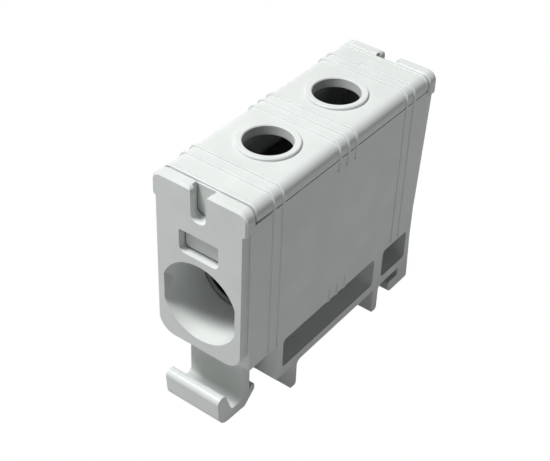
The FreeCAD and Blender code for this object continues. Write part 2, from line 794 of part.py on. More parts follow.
def check_piece(piece):
    """Stop if a piece has no closed, valid shape of one solid."""
    shape = piece.Shape
    if shape.isNull() or not shape.isValid() or len(shape.Solids) != 1:
        raise RuntimeError("%s has no single valid solid" % piece.Label)


fill_sheet()
pieces = {
    "housing": finish_housing(build_housing()),
    "lid": build_lid(),
    "terminal_block": build_terminal_block(),
    "near_clamp_screw": build_clamp_screw("near_clamp_screw", "-screw_half_spacing"),
    "far_clamp_screw": build_clamp_screw("far_clamp_screw", "screw_half_spacing"),
    "rail_clip": build_rail_clip(),
}
check_document()
os.makedirs("parts", exist_ok=True)
for node, piece in pieces.items():
    piece.Label = node
    check_piece(piece)
for node, piece in pieces.items():
    piece.Shape.exportStep("parts/%s.step" % node)
    box = piece.Shape.BoundBox
    print("%-18s volume %8.1f  x %.2f..%.2f  y %.2f..%.2f  z %.2f..%.2f" % (
        node, piece.Shape.Volume, box.XMin, box.XMax, box.YMin, box.YMax, box.ZMin, box.ZMax))
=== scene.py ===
"""Looks of a one-pole connection terminal for a mounting rail.

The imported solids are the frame. The housing, the rail foot and the clamping block keep their
solids and get a finish. The lid is a copy of its solid with the seam opened, with crests, ridges,
latch pads and inner lips on it. The screws are made anew, with thread and socket. Everything
stands on a plain floor in soft studio light, seen from the photograph's angle.
"""

import logging
import math
from collections.abc import Callable, Iterable
from dataclasses import dataclass, replace
from enum import Enum

import bmesh
import bpy
from mathutils import Matrix, Vector


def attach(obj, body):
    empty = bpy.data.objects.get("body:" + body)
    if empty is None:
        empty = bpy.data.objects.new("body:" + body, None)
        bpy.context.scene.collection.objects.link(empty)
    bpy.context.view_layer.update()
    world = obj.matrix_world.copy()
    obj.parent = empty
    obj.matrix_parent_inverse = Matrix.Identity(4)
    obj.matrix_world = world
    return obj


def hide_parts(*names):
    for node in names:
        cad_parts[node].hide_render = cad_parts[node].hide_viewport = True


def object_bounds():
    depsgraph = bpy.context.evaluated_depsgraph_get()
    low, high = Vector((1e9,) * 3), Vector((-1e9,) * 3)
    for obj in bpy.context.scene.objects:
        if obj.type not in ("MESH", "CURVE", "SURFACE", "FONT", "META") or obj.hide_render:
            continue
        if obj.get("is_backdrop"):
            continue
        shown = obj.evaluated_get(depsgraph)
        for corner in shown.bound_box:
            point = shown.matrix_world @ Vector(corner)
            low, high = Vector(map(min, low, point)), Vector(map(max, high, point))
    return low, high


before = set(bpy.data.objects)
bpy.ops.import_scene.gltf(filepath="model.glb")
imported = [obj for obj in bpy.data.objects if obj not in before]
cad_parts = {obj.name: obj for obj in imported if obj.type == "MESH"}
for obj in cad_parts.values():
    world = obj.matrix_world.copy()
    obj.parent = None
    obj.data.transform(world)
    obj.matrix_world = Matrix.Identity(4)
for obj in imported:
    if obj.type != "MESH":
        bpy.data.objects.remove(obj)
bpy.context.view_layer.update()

LOG = logging.getLogger("connection_terminal")
MM = 0.001
# Vertices of a solid's loose triangles that lie closer than this are one.
WELD = 0.001 * MM
# Edges that turn by less than this are shaded smooth.
CREASE = math.radians(35)
# A face counts as square to an axis from this share of its normal along it.
SQUARE = 0.9999
WHITE = (1.0, 1.0, 1.0, 1.0)

Radius = Callable[[float], float]
Colour = tuple[float, float, float]


class Slot(Enum):
    """Material slots of the record; no piece in this script takes them."""

    MOULDING = "grey_moulding"
    STEEL = "plated_steel"


def new_group(name: str, inputs: dict[str, tuple[str, float | None]],
              outputs: Iterable[str]) -> bpy.types.NodeTree:
    """Make an empty shader node group.

    Args:
        name: Name of the group.
        inputs: Socket name to its type and default value.
        outputs: Names of its float outputs.

    Returns:
        The group, with its Group Input and Group Output nodes named "in" and "out".
    """
    tree = bpy.data.node_groups.new(name, "ShaderNodeTree")
    for title, (kind, value) in inputs.items():
        socket = tree.interface.new_socket(title, in_out="INPUT", socket_type=kind)
        if value is not None:
            socket.default_value = value
    for title in outputs:
        tree.interface.new_socket(title, in_out="OUTPUT", socket_type="NodeSocketFloat")
    tree.nodes.new("NodeGroupInput").name = "in"
    tree.nodes.new("NodeGroupOutput").name = "out"
    return tree


class SharedGroup:
    """Shader node group that is built once and placed in every material that uses it."""

    NAME = ""

    @classmethod
    def _build(cls) -> bpy.types.NodeTree:
        """Build the group; each kind of group has its own way."""
        raise NotImplementedError

    @classmethod
    def place(cls, tree: bpy.types.NodeTree) -> bpy.types.Node:
        """Place the group in a material.

        Args:
            tree: The material's nodes.

        Returns:
            The group's node in that material.
        """
        node = tree.nodes.new("ShaderNodeGroup")
        node.node_tree = bpy.data.node_groups.get(cls.NAME) or cls._build()
        return node


@dataclass(frozen=True)
class GrainNoise:
    """One noise of the moulded grain.

    Attributes:
        title: Name of its node.
        size: Input of the group that sets its size.
        output: Output of the group that it feeds.
        detail: Detail of the noise.
        density: Cells over the length that the input gives.
    """

    title: str
    size: str
    output: str
    detail: float
    density: float = 1.0


class GrainGroup(SharedGroup):
    """Node group for the fine texture of a spark-eroded mould and the mottling of its plastic."""

    NAME = "moulded_grain"
    NOISES = (
        GrainNoise("grain", "Grain Size", "Height", detail=3.0),
        GrainNoise("mottle", "Mottle Size", "Mottle", detail=2.0),
        GrainNoise("speck", "Grain Size", "Speck", detail=1.0, density=0.4),
    )

    @classmethod
    def _build(cls) -> bpy.types.NodeTree:
        """Build the group from three noises on object coordinates.

        Returns:
            The group; its sizes are in millimetres.
        """
        tree = new_group(
            cls.NAME,
            {
                "Vector": ("NodeSocketVector", None),
                "Grain Size": ("NodeSocketFloat", 0.12),
                "Mottle Size": ("NodeSocketFloat", 6.0),
            },
            [noise.output for noise in cls.NOISES],
        )
        source, sink = tree.nodes["in"], tree.nodes["out"]
        for noise in cls.NOISES:
            scale = tree.nodes.new("ShaderNodeMath")
            scale.operation = "DIVIDE"
            scale.inputs[0].default_value = noise.density / MM
            tree.links.new(source.outputs[noise.size], scale.inputs[1])
            texture = tree.nodes.new("ShaderNodeTexNoise")
            texture.name = noise.title
            texture.inputs["Detail"].default_value = noise.detail
            tree.links.new(source.outputs["Vector"], texture.inputs["Vector"])
            tree.links.new(scale.outputs[0], texture.inputs["Scale"])
            tree.links.new(texture.outputs["Fac"], sink.inputs[noise.output])
        return tree


class PaintedSeamShadeGroup(SharedGroup):
    """Node group for painted shade: it darkens the colour in narrow seams and slots, where shade
    falls.
    """

    NAME = "painted_shade_in_seams"
    SAMPLES = 8

    @classmethod
    def _build(cls) -> bpy.types.NodeTree:
        """Build the group from the walls within its reach.

        Returns:
            The group; it puts out 1 in the open, and 0 where walls stand close together.
        """
        tree = new_group(
            cls.NAME,
            {
                "Reach": ("NodeSocketFloat", 0.5 * MM),
                "Closed": ("NodeSocketFloat", 0.12),
                "Open": ("NodeSocketFloat", 0.4),
            },
            ["Openness"],
        )
        source, sink = tree.nodes["in"], tree.nodes["out"]
        # Painted shade: ambient occlusion finds walls that stand close together, and the colour is
        # darkened there.
        near_walls = tree.nodes.new("ShaderNodeAmbientOcclusion")
        near_walls.samples = cls.SAMPLES
        tree.links.new(source.outputs["Reach"], near_walls.inputs["Distance"])
        spread = tree.nodes.new("ShaderNodeMapRange")
        tree.links.new(near_walls.outputs["AO"], spread.inputs["Value"])
        tree.links.new(source.outputs["Closed"], spread.inputs["From Min"])
        tree.links.new(source.outputs["Open"], spread.inputs["From Max"])
        tree.links.new(spread.outputs["Result"], sink.inputs["Openness"])
        return tree


def shaded(color: Colour, share: float) -> tuple[float, float, float, float]:
    """Make a colour darker or lighter.

    Args:
        color: The colour, linear.
        share: What each channel is multiplied by.

    Returns:
        The colour as a socket takes it, with no channel above 1.
    """
    red, green, blue = (min(1.0, channel * share) for channel in color)
    return red, green, blue, 1.0


def add_range(tree: bpy.types.NodeTree, value: bpy.types.NodeSocket, span: tuple[float, float],
              result: tuple[float, float] = (0.0, 1.0)) -> bpy.types.NodeSocket:
    """Spread a span of values over another.

    Args:
        tree: The material's nodes.
        value: Socket that gives the value.
        span: Lower and upper end of the values.
        result: What these two ends become.

    Returns:
        The socket with the new value.
    """
    spread = tree.nodes.new("ShaderNodeMapRange")
    for title, number in zip(("From Min", "From Max", "To Min", "To Max"), (*span, *result)):
        spread.inputs[title].default_value = number
    tree.links.new(value, spread.inputs["Value"])
    return spread.outputs["Result"]


def add_mix(tree: bpy.types.NodeTree, factor: bpy.types.NodeSocket,
            first: tuple[float, float, float, float],
            second: tuple[float, float, float, float] | bpy.types.NodeSocket,
            ) -> bpy.types.NodeSocket:
    """Mix two colours.

    Args:
        tree: The material's nodes.
        factor: Socket with the share of the second colour.
        first: The first colour.
        second: The second colour, or the socket that gives it.

    Returns:
        The socket with the mixed colour.
    """
    mix = tree.nodes.new("ShaderNodeMix")
    mix.data_type = "RGBA"
    mix.inputs["A"].default_value = first
    if isinstance(second, bpy.types.NodeSocket):
        tree.links.new(second, mix.inputs["B"])
    else:
        mix.inputs["B"].default_value = second
    tree.links.new(factor, mix.inputs["Factor"])
    return mix.outputs["Result"]


def add_bump(tree: bpy.types.NodeTree, height: bpy.types.NodeSocket, strength: float,
             depth_mm: float) -> bpy.types.Node:
    """Add a bump that feeds the shader's normal.

    Args:
        tree: The material's nodes.
        height: Socket that gives the height.
        strength: Strength of the bump.
        depth_mm: Depth of the relief, in millimetres.

    Returns:
        The bump node.
    """
    bump = tree.nodes.new("ShaderNodeBump")
    bump.inputs["Strength"].default_value = strength
    bump.inputs["Distance"].default_value = depth_mm * MM
    tree.links.new(height, bump.inputs["Height"])
    tree.links.new(bump.outputs["Normal"], tree.nodes["Principled BSDF"].inputs["Normal"])
    return bump


@dataclass(frozen=True)
class MouldedPlastic:
    """Satin grey plastic straight from the mould.

    Attributes:
        name: Name of the material.
        color: Mean base colour, linear.
        edge_mm: Radius of the soft moulded edges, in millimetres.
        edge_samples: Samples that find those edges.
        variation: How far the mottling lightens and darkens the colour.
        mottle_span: Values of the mottling between which the colour changes.
        roughness: Mean roughness.
        roughness_swing: How far the specks raise and lower it.
        speck_span: Values of the specks between which it changes.
        specular: Specular level.
        grain: Strength of the fine bump.
        grain_depth_mm: Depth of the fine bump, in millimetres.
        painted_seam_shade: Share of the colour that is left deep in a narrow seam; this is painted
            shade.
    """

    name: str
    color: Colour
    edge_mm: float = 0.1
    edge_samples: int = 6
    variation: float = 0.03
    mottle_span: tuple[float, float] = (0.35, 0.65)
    roughness: float = 0.42
    roughness_swing: float = 0.05
    speck_span: tuple[float, float] = (0.3, 0.7)
    specular: float = 0.45
    grain: float = 0.12
    grain_depth_mm: float = 0.02
    painted_seam_shade: float = 0.03

    def material(self) -> bpy.types.Material:
        """Make the finished material.

        Returns:
            Mottled plastic with fine grain, soft edges and painted shade in narrow seams.
        """
        made = bpy.data.materials.new(self.name)
        made.use_nodes = True
        tree = made.node_tree
        shader = tree.nodes["Principled BSDF"]
        shader.inputs["Specular IOR Level"].default_value = self.specular
        coords = tree.nodes.new("ShaderNodeTexCoord")
        grain = GrainGroup.place(tree)
        tree.links.new(coords.outputs["Object"], grain.inputs["Vector"])
        mottled = add_mix(
            tree,
            add_range(tree, grain.outputs["Mottle"], self.mottle_span),
            shaded(self.color, 1 - self.variation),
            shaded(self.color, 1 + self.variation),
        )
        # Painted shade: where walls stand close, the colour is darkened down to painted_seam_shade
        # of itself.
        seam = PaintedSeamShadeGroup.place(tree)
        colour = add_mix(tree, seam.outputs["Openness"], shaded(self.color, self.painted_seam_shade),
                         mottled)
        tree.links.new(colour, shader.inputs["Base Color"])
        rough = add_range(
            tree, grain.outputs["Speck"], self.speck_span,
            (self.roughness - self.roughness_swing, self.roughness + self.roughness_swing),
        )
        tree.links.new(rough, shader.inputs["Roughness"])
        soft_edge = tree.nodes.new("ShaderNodeBevel")
        soft_edge.samples = self.edge_samples
        soft_edge.inputs["Radius"].default_value = self.edge_mm * MM
        bump = add_bump(tree, grain.outputs["Height"], self.grain, self.grain_depth_mm)
        tree.links.new(soft_edge.outputs["Normal"], bump.inputs["Normal"])
        return made


@dataclass(frozen=True)
class PlatedMetal:
    """Metal with a thin plating that shows faint machining lines, with painted glints on their
    crests.

    Attributes:
        name: Name of the material.
        color: Base colour, linear.
        roughness: Roughness that the lines raise and lower.
        roughness_drop: How far they lower it.
        roughness_rise: How far they raise it.
        lines: Size of the machining lines along each axis, in millimetres.
        line_detail: Detail of the lines' noise.
        line_bump: Strength of the lines' bump.
        line_depth_mm: Depth of the lines, in millimetres.
        painted_glint: How much lighter the crests of the machining lines are; these are painted
            glints.
        painted_glint_span: Values of the lines' noise between which the painted glints get lighter.
    """

    name: str
    color: Colour
    roughness: float
    lines: tuple[float, float, float]
    roughness_drop: float = 0.1
    roughness_rise: float = 0.12
    line_detail: float = 4.0
    line_bump: float = 0.15
    line_depth_mm: float = 0.01
    painted_glint: float = 1.5
    painted_glint_span: tuple[float, float] = (0.5, 0.75)

    def material(self) -> bpy.types.Material:
        """Make the finished material.

        Returns:
            Metal whose colour, roughness and bump follow one noise of drawn-out lines.
        """
        made = bpy.data.materials.new(self.name)
        made.use_nodes = True
        tree = made.node_tree
        shader = tree.nodes["Principled BSDF"]
        shader.inputs["Metallic"].default_value = 1.0
        coords = tree.nodes.new("ShaderNodeTexCoord")
        mapping = tree.nodes.new("ShaderNodeMapping")
        mapping.inputs["Scale"].default_value = [1.0 / (MM * width) for width in self.lines]
        noise = tree.nodes.new("ShaderNodeTexNoise")
        noise.inputs["Scale"].default_value = 1.0
        noise.inputs["Detail"].default_value = self.line_detail
        tree.links.new(coords.outputs["Object"], mapping.inputs["Vector"])
        tree.links.new(mapping.outputs["Vector"], noise.inputs["Vector"])
        # Painted glints: the colour gets lighter on the crests of the lines' noise.
        colour = add_mix(
            tree,
            add_range(tree, noise.outputs["Fac"], self.painted_glint_span),
            shaded(self.color, 1.0),
            shaded(self.color, self.painted_glint),
        )
        tree.links.new(colour, shader.inputs["Base Color"])
        rough = add_range(
            tree, noise.outputs["Fac"], (0.0, 1.0),
            (self.roughness - self.roughness_drop, self.roughness + self.roughness_rise),
        )
        tree.links.new(rough, shader.inputs["Roughness"])
        add_bump(tree, noise.outputs["Fac"], self.line_bump, self.line_depth_mm)
        return made


def dress(piece: bpy.types.Object, material: bpy.types.Material) -> None:
    """Put one material on the whole of a piece."""
    piece.data.materials.clear()
    piece.data.materials.append(material)


def is_square(face: bmesh.types.BMFace) -> bool:
    """Whether a face is square to one of the axes."""
    return max(abs(part) for part in face.normal) > SQUARE


def to_object(shape: bmesh.types.BMesh, name: str, material: bpy.types.Material,
              flats_stay: bool = False) -> bpy.types.Object:
    """Turn a finished bmesh into a linked object at the origin.

    Args:
        shape: The shape in metres; it is freed.
        name: Name of the piece.
        material: Its only material.
        flats_stay: Keep the faces that are square to an axis out of the smooth shading.

    Returns:
        The object, shaded smooth with sharp creases kept.
    """
    bmesh.ops.recalc_face_normals(shape, faces=shape.faces)
    for edge in shape.edges:
        edge.smooth = len(edge.link_faces) == 2 and edge.calc_face_angle() < CREASE
        if flats_stay and edge.smooth:
            edge.smooth = len({is_square(face) for face in edge.link_faces}) == 1
    for face in shape.faces:
        face.smooth = True
    mesh = bpy.data.meshes.new(name)
    shape.to_mesh(mesh)
    shape.free()
    made = bpy.data.objects.new(name, mesh)
    bpy.context.scene.collection.objects.link(made)
    dress(made, material)
    return made


def skin(shape: bmesh.types.BMesh, rings: list[list[bmesh.types.BMVert]]) -> None:
    """Join closed rings of vertices into a skin and close its two ends.

    Args:
        shape: The bmesh that holds the rings.
        rings: Rings with as many vertices each.
    """
    for ring, following in zip(rings, rings[1:]):
        count = len(ring)
        for index in range(count):
            ahead = (index + 1) % count
            shape.faces.new((ring[index], ring[ahead], following[ahead], following[index]))
    shape.faces.new(rings[0])
    shape.faces.new(list(reversed(rings[-1])))


@dataclass(frozen=True)
class SkirtedLid:
    """The lid, with the seam under its skirt as open as on the real one.

    Attributes:
        seam: Height of the skirt's lower edge in the solid, in millimetres.
        tolerance: How near to that height a vertex of the edge lies.
        near_end: Where the skirt starts, along the terminal.
        lift: How much higher the lower edge lies all along.
        near_lift: How much higher still it lies at the near end, where the lid is a little bowed.
        fade: Length over which the bow dies out.
    """

    seam: float = 32.47
    tolerance: float = 0.02
    near_end: float = -21.15
    lift: float = 0.13
    near_lift: float = 0.22
    fade: float = 6.5

    def build(self, material: bpy.types.Material) -> list[bpy.types.Object]:
        """Dress a merged copy of the lid's solid.

        Args:
            material: The plastic.

        Returns:
            The dressed lid.
        """
        shape = bmesh.new()
        shape.from_mesh(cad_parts["lid"].data)
        bmesh.ops.remove_doubles(shape, verts=shape.verts, dist=WELD)
        for vert in shape.verts:
            if abs(vert.co.z / MM - self.seam) < self.tolerance:
                share = max(0.0, 1 - (vert.co.x / MM - self.near_end) / self.fade)
                vert.co.z += (self.lift + self.near_lift * share) * MM
        lid = to_object(shape, "lid_dressed", material, flats_stay=True)
        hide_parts("lid")
        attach(lid, "lid")
        return [lid]


@dataclass(frozen=True)
class CrestBars:
    """Crests that run over the lid from one skirt to the other.

    Attributes:
        title: Name of the crests; each gets its number.
        places: Middle of each crest along the terminal, in millimetres.
        side: Half width of the lid.
        top: Height of the lid's top.
        corner: Radius of the lid's long edges.
        foot: Height at which the crests start.
        half_width: Half width of a crest at its foot.
        fullness: How steep a crest's walls are; 2 gives a half round.
        rise_side: Height of a crest over the skirt.
        rise_corner: Height over the rounded edge.
        rise_top: Height over the top.
        sunk: How deep a crest's foot lies in the lid.
        turn_steps: Steps round each long edge of the lid.
        across_steps: Steps across a crest.
    """

    title: str = "lid_crest"
    places: tuple[float, ...] = (-17.3, -15.3, -2.55, -0.55, 1.45, 14.2, 16.2)
    side: float = 7.8
    top: float = 35.0
    corner: float = 1.5
    foot: float = 32.36
    half_width: float = 0.25
    fullness: float = 4.0
    rise_side: float = 0.15
    rise_corner: float = 0.34
    rise_top: float = 0.22
    sunk: float = 0.1
    turn_steps: int = 14
    across_steps: int = 14

    def build(self, material: bpy.types.Material) -> list[bpy.types.Object]:
        """Make every crest on the lid.

        Args:
            material: The plastic.

        Returns:
            The crests, in the order of their places.
        """
        made = []
        for number, place in enumerate(self.places, start=1):
            shape = bmesh.new()
            skin(shape, [self._ring(shape, place, *station) for station in self._stations()])
            crest = to_object(shape, f"{self.title}_{number}", material)
            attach(crest, "lid")
            made.append(crest)
        return made

    def _stations(self) -> list[tuple[Vector, Vector, float]]:
        """Walk over the lid's skin from skirt to skirt.

        Returns:
            A point, its normal and the crest's height there, for each station.
        """
        centre_y, centre_z = self.side - self.corner, self.top - self.corner
        half = [(Vector((0.0, -self.side, self.foot)), Vector((0.0, -1.0, 0.0)), self.rise_side)]
        for step in range(self.turn_steps + 1):
            share = step / self.turn_steps
            turn = share * math.pi / 2
            normal = Vector((0.0, -math.cos(turn), math.sin(turn)))
            point = Vector((0.0, -centre_y, centre_z)) + normal * self.corner
            swell = math.sin(2 * turn)
            level = self.rise_side + (self.rise_top - self.rise_side) * share
            half.append((point, normal, level + (self.rise_corner - level) * swell))
        far = [(Vector((0.0, -point.y, point.z)), Vector((0.0, -normal.y, normal.z)), rise)
               for point, normal, rise in reversed(half)]
        return half + far

    def _ring(self, shape: bmesh.types.BMesh, place: float, point: Vector, normal: Vector,
              rise: float) -> list[bmesh.types.BMVert]:
        """Make the closed section of a crest at one station.

        Args:
            shape: The bmesh that gets the vertices.
            place: Middle of the crest along the terminal.
            point: Point on the lid's skin.
            normal: The skin's normal there.
            rise: Height of the crest there.

        Returns:
            The section's vertices.
        """
        power = 2 / self.fullness
        ring = []
        for step in range(self.across_steps + 1):
            turn = math.pi * step / self.across_steps
            share = math.sin(turn) ** power
            along = math.cos(turn)
            across = -self.half_width * math.copysign(abs(along) ** power, along)
            spot = point + normal * (rise * share) + Vector((place + across, 0.0, 0.0))
            ring.append(shape.verts.new(spot * MM))
        for across in (self.half_width, -self.half_width):
            spot = point - normal * self.sunk + Vector((place + across, 0.0, 0.0))
            ring.append(shape.verts.new(spot * MM))
        return ring


@dataclass(frozen=True)
class LatchPads:
    """The thicker face of each tongue, which fills its window in the end plate.

    Attributes:
        tongue_face: Distance of each tongue's outer face from the middle, in millimetres.
        root: How deep a pad's root lies in its tongue.
        thickness: How far a pad stands out from its tongue.
        half_width: Half width across the terminal.
        low: Height of its lower edge.
        high: Height of its upper edge.
        corner: Radius of its lower corners.
        corner_steps: Steps round each of them.
        edge: Width of the soft edge round its face.
        edge_knee: Share of that width at which the edge turns.
        offset: Distance of the terminal's middle from the rail's middle.
    """

    tongue_face: float = 20.6
    root: float = 0.1
    thickness: float = 0.78
    half_width: float = 3.22
    low: float = 23.98
    high: float = 27.42
    corner: float = 0.75
    corner_steps: int = 6
    edge: float = 0.08
    edge_knee: float = 0.3
    offset: float = -0.55

    def build(self, material: bpy.types.Material) -> list[bpy.types.Object]:
        """Make one pad on each tongue.

        Args:
            material: The plastic.

        Returns:
            The near and the far pad.
        """
        knee = self.edge * self.edge_knee
        sections = (
            (-self.root, 0.0),
            (self.thickness - self.edge, 0.0),
            (self.thickness - knee, knee),
            (self.thickness, self.edge),
        )
        made = []
        for name, end in (("near_latch_pad", -1.0), ("far_latch_pad", 1.0)):
            shape = bmesh.new()
            rings = []
            for depth, inset in sections:
                x = end * (self.tongue_face + depth) + self.offset
                rings.append([shape.verts.new(Vector((x, y, z)) * MM)
                              for y, z in self._outline(inset)])
            skin(shape, rings)
            pad = to_object(shape, name, material)
            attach(pad, "lid")
            made.append(pad)
        return made

    def _outline(self, inset: float) -> list[tuple[float, float]]:
        """Draw the outline with its round lower corners.

        Args:
            inset: How far it is drawn in on all sides.

        Returns:
            Its points across the terminal and in height.
        """
        half, low, high = self.half_width - inset, self.low + inset, self.high - inset
        radius = self.corner - inset
        points = [(half, high), (-half, high)]
        for side, start in ((-1.0, math.pi), (1.0, 1.5 * math.pi)):
            for step in range(self.corner_steps + 1):
                turn = start + step / self.corner_steps * math.pi / 2
                points.append((side * (half - radius) + math.cos(turn) * radius,
                               low + radius + math.sin(turn) * radius))
        return points


@dataclass(frozen=True)
class InnerLips:
    """The two thin lips under the lid that reach into the housing and close the seam to the eye.

    Attributes:
        middle_y: Distance of each lip's middle from the terminal's middle, in millimetres.
        thickness: Its thickness.
        near: Its near end along the terminal.
        far: Its far end.
        low: Height of its lower edge.
        high: Height of its root in the lid.
        edge: Width of its broken edges.
    """

    middle_y: float = 6.28
    thickness: float = 0.24
    near: float = -19.9
    far: float = 18.8
    low: float = 31.75
    high: float = 33.6
    edge: float = 0.08

    def build(self, material: bpy.types.Material) -> list[bpy.types.Object]:
        """Make one lip behind each skirt.

        Args:
            material: The plastic.

        Returns:
            The two lips.
        """
        size = ((self.far - self.near) * MM, self.thickness * MM, (self.high - self.low) * MM)
        made = []
        for name, side in (("near_side_lip", -1.0), ("far_side_lip", 1.0)):
            middle = ((self.near + self.far) / 2 * MM, side * self.middle_y * MM,
                      (self.low + self.high) / 2 * MM)
            shape = bmesh.new()
            bmesh.ops.create_cube(shape, size=1.0)
            bmesh.ops.scale(shape, verts=shape.verts, vec=size)
            bmesh.ops.bevel(shape, geom=shape.edges[:], offset=self.edge * MM,
                            offset_type="OFFSET", segments=2, profile=0.5, affect="EDGES",
                            material=-1)
            bmesh.ops.translate(shape, verts=shape.verts, vec=middle)
            lip = to_object(shape, name, material)
            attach(lip, "lid")
            made.append(lip)
        return made


@dataclass(frozen=True)
class Mouldings:
    """The grey plastic pieces and the soft details that lie on them.

    Attributes:
        finish: The plastic.
        nodes: Solids that keep their shape and get the finish.
        crisp_edge_mm: Radius of the soft edges on the small details, in millimetres.
        end_ridges: The low ridges along the two ends of the lid.
    """

    finish: MouldedPlastic
    nodes: tuple[str, ...] = ("housing", "rail_clip")
    crisp_edge_mm: float = 0.04
    end_ridges: CrestBars = CrestBars(
        title="lid_end_ridge", places=(-20.72, 19.62), foot=32.85, half_width=0.3,
        fullness=2.2, rise_side=0.03, rise_corner=0.14, rise_top=0.07, sunk=0.5,
    )

    def build(self) -> list[bpy.types.Object]:
        """Dress the solids, and make the lid with all that lies on it.

        Returns:
            Every grey piece.
        """
        plastic = self.finish.material()
        solids = [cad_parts[node] for node in self.nodes]
        for solid in solids:
            dress(solid, plastic)
        lid = SkirtedLid().build(plastic)
        crisp = replace(self.finish, name=self.finish.name + "_crisp",
                        edge_mm=self.crisp_edge_mm).material()
        details = CrestBars().build(crisp) + self.end_ridges.build(crisp)
        details += LatchPads().build(crisp) + InnerLips().build(plastic)
        return solids + lid + details


@dataclass(frozen=True)
class ClampScrew:
    """Set screw with a real helical thread, a hexagon socket and a turned point.

    Attributes:
        radius: Outer radius of the thread, in millimetres.
        pitch: Pitch of the thread.
        depth: Depth of the thread.
        groove_reach: Share of the pitch from a groove's middle to the end of its flank.
        groove_slope: Steepness of the flanks; above 1 the groove gets a flat bottom.
        top: Height of the head's face.
        length: Overall length.
        rim: How much narrower the screw is at its face.
        point_radius: Radius at which the point starts.
        point_flat: Share of that radius that the flat at the point has.
        socket_half: Half the width across the socket's flats.
        socket_edge: Width of the broken edge round the socket.
        socket_depth: Depth of the socket's walls.
        drill_radius: Radius of the hollow that the drill leaves under the socket.
        drill_depth: Depth of that hollow.
        around: Vertices round the screw.
        rows_per_pitch: Rows of vertices for each turn of the thread.
    """

    radius: float = 3.98
    pitch: float = 1.0
    depth: float = 0.55
    groove_reach: float = 0.4
    groove_slope: float = 1.15
    top: float = 26.8
    length: float = 5.9
    rim: float = 0.4
    point_radius: float = 3.2
    point_flat: float = 0.4
    socket_half: float = 2.0
    socket_edge: float = 0.15
    socket_depth: float = 3.2
    drill_radius: float = 0.3
    drill_depth: float = 0.8
    around: int = 48
    rows_per_pitch: int = 8

    def build(self, node: str, body: str, place: float,
              material: bpy.types.Material) -> bpy.types.Object:
        """Make one screw in the place of its solid.

        Args:
            node: Name of the solid that the screw stands for.
            body: Body that it rides.
            place: Distance of its axis from the rail's middle, in millimetres.
            material: Its metal.

        Returns:
            The screw.
        """
        shape = bmesh.new()
        rings = [self._circle(shape, place, lambda turn, z=z: self._thread(turn, z), z)
                 for z in self._levels()]
        rings.insert(0, self._circle(shape, place, lambda turn: self.point_flat * self.point_radius,
                                     self.top - self.length))
        floor = self.top - self.socket_depth
        for outline, height in (
            (self._hexagon(self.socket_half + self.socket_edge), self.top),
            (self._hexagon(self.socket_half), self.top - self.socket_edge),
            (self._hexagon(self.socket_half), floor),
            (lambda turn: self.drill_radius, floor - self.drill_depth),
        ):
            rings.append(self._circle(shape, place, outline, height))
        skin(shape, rings)
        screw = to_object(shape, node + "_turned", material)
        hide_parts(node)
        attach(screw, body)
        return screw

    def _levels(self) -> list[float]:
        """Space out the thread's rows.

        Returns:
            Their heights, from the point to the head's rim.
        """
        low = self.top - self.length
        count = round(self.length / self.pitch * self.rows_per_pitch)
        return [low + self.length * step / count for step in range(count + 1)]

    def _thread(self, turn: float, z: float) -> float:
        """Find the thread's skin.

        Args:
            turn: Angle round the screw, in radians.
            z: Height, in millimetres.

        Returns:
            The radius there, which the point and the head's rim narrow.
        """
        phase = (z / self.pitch - turn / (2 * math.pi)) % 1.0
        groove = max(0.0, 1.0 - abs(phase - 0.5) / self.groove_reach)
        flank = self.radius - self.depth * min(1.0, groove * self.groove_slope)
        above_point = z - (self.top - self.length)
        below_face = self.top - z
        return min(flank, self.point_radius + above_point, self.radius - self.rim + below_face)

    @staticmethod
    def _hexagon(half: float) -> Radius:
        """Radius of a hexagon's outline by the angle, from half its width across the flats."""
        return lambda turn: half / math.cos((turn + math.pi / 6) % (math.pi / 3) - math.pi / 6)

    def _circle(self, shape: bmesh.types.BMesh, place: float, radius: Radius,
                z: float) -> list[bmesh.types.BMVert]:
        """Make a ring of vertices round the screw's axis.

        Args:
            shape: The bmesh that gets the vertices.
            place: Distance of the axis from the rail's middle.
            radius: Radius of the ring by the angle.
            z: Height of the ring.

        Returns:
            The ring's vertices.
        """
        ring = []
        for step in range(self.around):
            turn = 2 * math.pi * step / self.around
            reach = radius(turn)
            spot = Vector((place + reach * math.cos(turn), reach * math.sin(turn), z))
            ring.append(shape.verts.new(spot * MM))
        return ring


@dataclass(frozen=True)
class MetalParts:
    """The clamping block and its two screws.

    Attributes:
        block: Finish of the block.
        screw: Finish of the screws.
        near_axis: Place of the near screw's axis along the terminal, in millimetres.
        far_axis: Place of the far screw's axis.
    """

    block: PlatedMetal
    screw: PlatedMetal
    near_axis: float = -8.55
    far_axis: float = 7.45

    def build(self) -> list[bpy.types.Object]:
        """Give the block its finish and make the screws.

        Returns:
            The block and the screws.
        """
        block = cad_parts["terminal_block"]
        dress(block, self.block.material())
        steel = self.screw.material()
        screw = ClampScrew()
        return [
            block,
            screw.build("near_clamp_screw", "near_screw", self.near_axis, steel),
            screw.build("far_clamp_screw", "far_screw", self.far_axis, steel),
        ]


def away(azimuth: float, elevation: float) -> Vector:
    """Point from the object towards a viewpoint.

    Args:
        azimuth: Degrees round the object; 0 looks along +Y.
        elevation: Degrees above the horizon.

    Returns:
        The direction as a unit vector.
    """
    turn, lift = math.radians(azimuth), math.radians(elevation)
    flat = math.cos(lift)
    return Vector((math.sin(turn) * flat, -math.cos(turn) * flat, math.sin(lift)))


